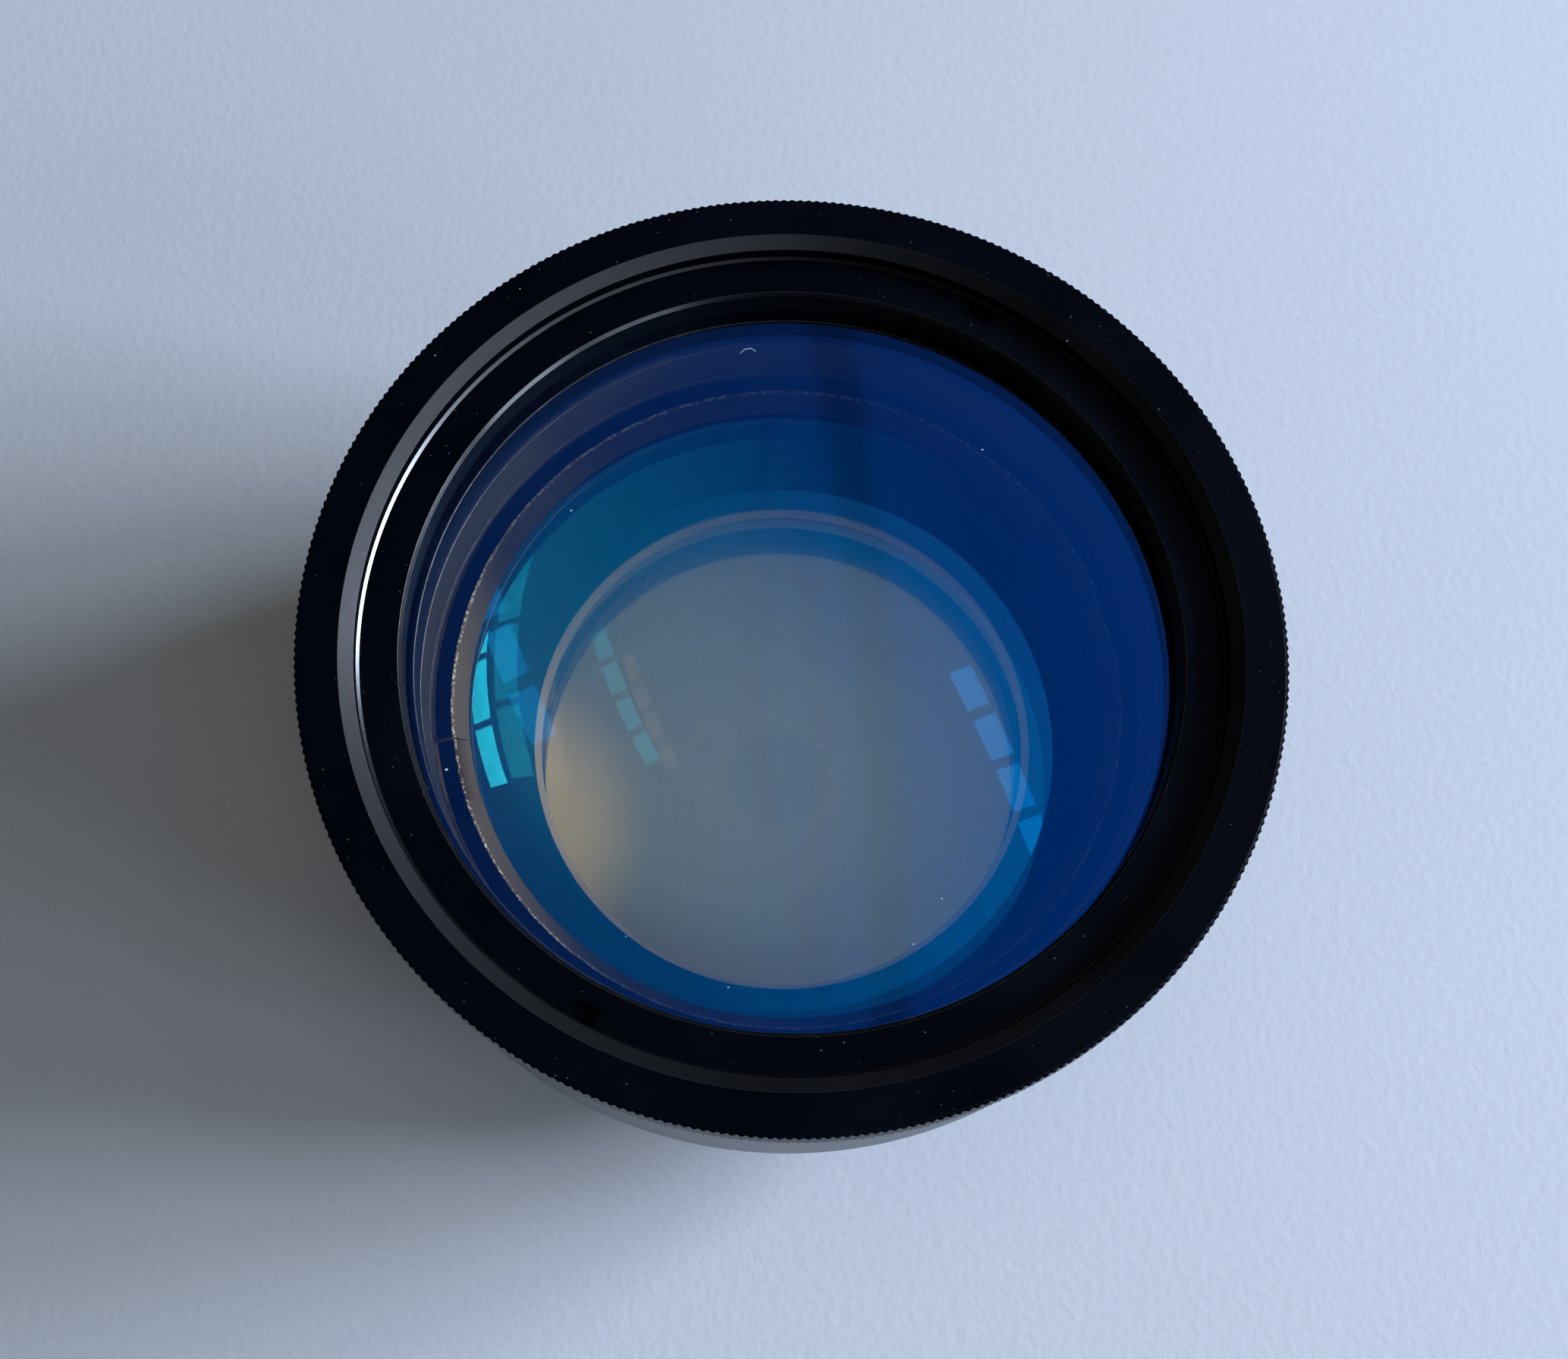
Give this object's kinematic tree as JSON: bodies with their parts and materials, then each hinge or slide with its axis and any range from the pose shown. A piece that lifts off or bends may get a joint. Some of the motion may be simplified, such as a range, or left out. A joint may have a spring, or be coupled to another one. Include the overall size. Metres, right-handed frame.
{
  "type": "f theta scan lens",
  "caption": "Laser scan lens in a black threaded barrel, with a knurled front cell round a recessed protective window and coated elements inside.",
  "frame": {"origin": "centre of the entrance end of the nose, on the optical axis", "axes": "+Z along the optical axis, from the scan mirrors to the work; the lens stands on its entrance end"},
  "size_m": [0.09, 0.09, 0.051],
  "materials": {
    "anodised_body": "satin black anodised",
    "anodised_ring": "matt black anodised",
    "coated_window": "polished, blue coating",
    "coated_glass": "polished, blue coating",
    "seal_rubber": "matt",
    "screw_steel": "bare"
  },
  "bodies": {
    "root": {"barrel": "anodised_body", "front_cell": "anodised_body", "window_retaining_ring": "anodised_ring", "protective_window": "coated_window", "window_seal": "seal_rubber", "cell_seal": "seal_rubber", "exit_lens_ring": "anodised_ring", "exit_lens": "coated_glass", "lens_spacer": "anodised_ring", "middle_lens": "coated_glass", "entrance_lens": "coated_glass", "entrance_lens_ring": "anodised_ring", "cell_lock_screw_1": "screw_steel", "cell_lock_screw_2": "screw_steel", "cell_lock_screw_3": "screw_steel"}
  },
  "joints": []
}
